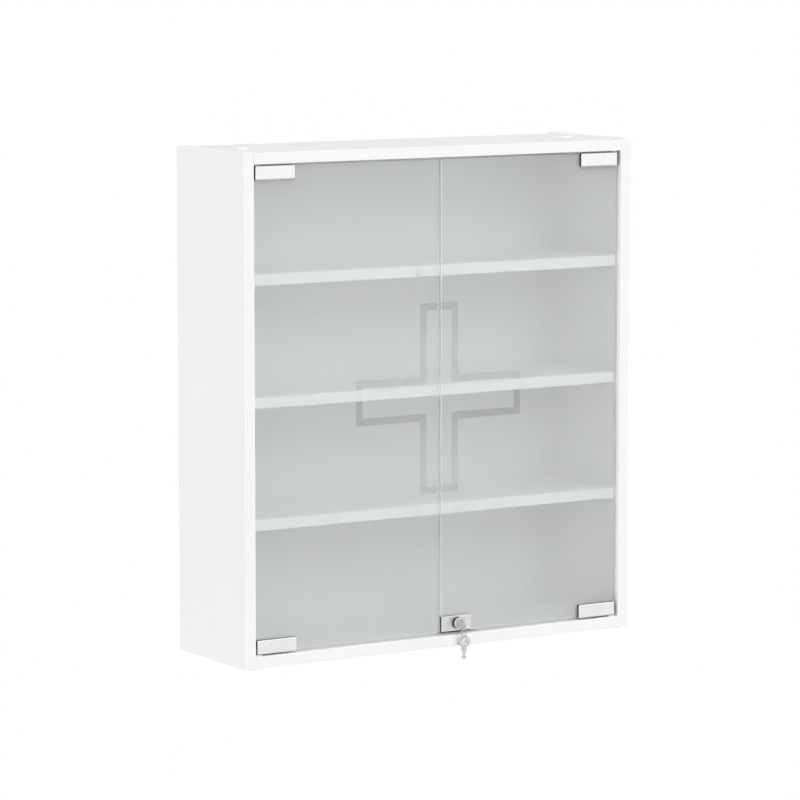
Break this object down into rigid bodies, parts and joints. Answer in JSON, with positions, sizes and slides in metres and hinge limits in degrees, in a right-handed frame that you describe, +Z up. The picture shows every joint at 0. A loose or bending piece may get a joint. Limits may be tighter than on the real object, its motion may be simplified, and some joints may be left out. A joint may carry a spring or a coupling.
{
  "type": "glass door medicine cabinet",
  "caption": "White wall-hung medicine cabinet with satin glass doors on pivot clamps, shelves inside, a clear cross outline and a key lock.",
  "frame": {"origin": "on the wall plane, in the middle of the hanging rail's back, halfway between its two wall screw holes", "axes": "+X to the right seen from the front, +Y into the wall, +Z up; the doors face -Y"},
  "size_m": [0.61, 0.1985, 0.6957],
  "materials": {
    "white_board": "white melamine facing, satin",
    "back_board": "white hardboard, smooth face",
    "satin_glass": "acid etched satin inside, gloss outside, clear cross line",
    "bright_cap": "polished plating",
    "hinge_metal": "die cast, plain",
    "hinge_pad": "black, matt",
    "screw_steel": "zinc plated",
    "shelf_pin_steel": "nickel plated",
    "cam_zinc": "die cast, plain",
    "dowel_wood": "fluted beech, bare",
    "white_cover": "moulded, satin",
    "bush_nylon": "moulded, matt",
    "strike_steel": "nickel plated",
    "milky_bumper": "milky silicone, soft",
    "lock_plate_steel": "satin nickel plating",
    "lock_gasket": "black, matt",
    "lock_chrome": "polished plating",
    "lock_cam_steel": "zinc plated",
    "key_nickel": "nickel plated, worn satin",
    "ring_steel": "nickel plated wire"
  },
  "bodies": {
    "cabinet": {"left_side_panel": "white_board", "right_side_panel": "white_board", "top_panel": "white_board", "bottom_panel": "white_board", "back_panel": "back_board", "hanging_rail": "white_board", "upper_shelf": "white_board", "middle_shelf": "white_board", "lower_shelf": "white_board", "shelf_pins": "shelf_pin_steel", "dowels": "dowel_wood", "cam_nuts": "cam_zinc", "cam_bolts": "screw_steel", "cam_covers": "white_cover", "rail_screws": "screw_steel", "screw_covers": "white_cover", "pivot_bushes": "bush_nylon", "strike_plate": "strike_steel", "strike_screws": "screw_steel", "door_bumpers": "milky_bumper"},
    "left_door": {"left_pane": "satin_glass", "hinge_body_top_left": "hinge_metal", "hinge_cap_top_left": "bright_cap", "hinge_pads_top_left": "hinge_pad", "hinge_press_plate_top_left": "hinge_metal", "hinge_grub_screws_top_left": "screw_steel", "hinge_body_bottom_left": "hinge_metal", "hinge_cap_bottom_left": "bright_cap", "hinge_pads_bottom_left": "hinge_pad", "hinge_press_plate_bottom_left": "hinge_metal", "hinge_grub_screws_bottom_left": "screw_steel"},
    "right_door": {"right_pane": "satin_glass", "hinge_body_top_right": "hinge_metal", "hinge_cap_top_right": "bright_cap", "hinge_pads_top_right": "hinge_pad", "hinge_press_plate_top_right": "hinge_metal", "hinge_grub_screws_top_right": "screw_steel", "hinge_body_bottom_right": "hinge_metal", "hinge_cap_bottom_right": "bright_cap", "hinge_pads_bottom_right": "hinge_pad", "hinge_press_plate_bottom_right": "hinge_metal", "hinge_grub_screws_bottom_right": "screw_steel", "lock_plate": "lock_plate_steel", "lock_gaskets": "lock_gasket", "lock_back_plate": "lock_plate_steel", "lock_barrel": "lock_chrome", "lock_nut": "lock_chrome"},
    "lock_core": {"lock_plug": "lock_chrome", "lock_cam": "lock_cam_steel", "cam_screw": "screw_steel"},
    "lock_key": {"key": "key_nickel"},
    "ring": {"key_ring": "ring_steel"},
    "hanging_key": {"spare_key": "key_nickel"}
  },
  "joints": [
    {"name": "left_door_swing", "type": "hinge", "parent": "cabinet", "child": "left_door", "pos_m": [-0.2822, -0.171, -0.2835], "axis": [0, 0, -1], "range_deg": [0, 95]},
    {"name": "right_door_swing", "type": "hinge", "parent": "cabinet", "child": "right_door", "pos_m": [0.2822, -0.171, -0.2835], "axis": [0, 0, 1], "range_deg": [0, 95]},
    {"name": "lock_turn", "type": "hinge", "parent": "right_door", "child": "lock_core", "pos_m": [0.0277, -0.171, -0.592], "axis": [0, 1, 0], "range_deg": [0, 90]},
    {"name": "key_pull", "type": "slide", "parent": "lock_core", "child": "lock_key", "axis": [0, -1, 0], "range_m": [0, 0.03]},
    {"name": "ring_swing", "type": "hinge", "parent": "lock_key", "child": "ring", "pos_m": [0.0277, -0.1908, -0.592], "axis": [-1, 0, 0], "range_deg": [-5, 35]},
    {"name": "spare_key_swing", "type": "hinge", "parent": "ring", "child": "hanging_key", "pos_m": [0.0277, -0.1908, -0.6114], "axis": [0.7986, 0.6018, 0], "range_deg": [-30, 10]}
  ]
}
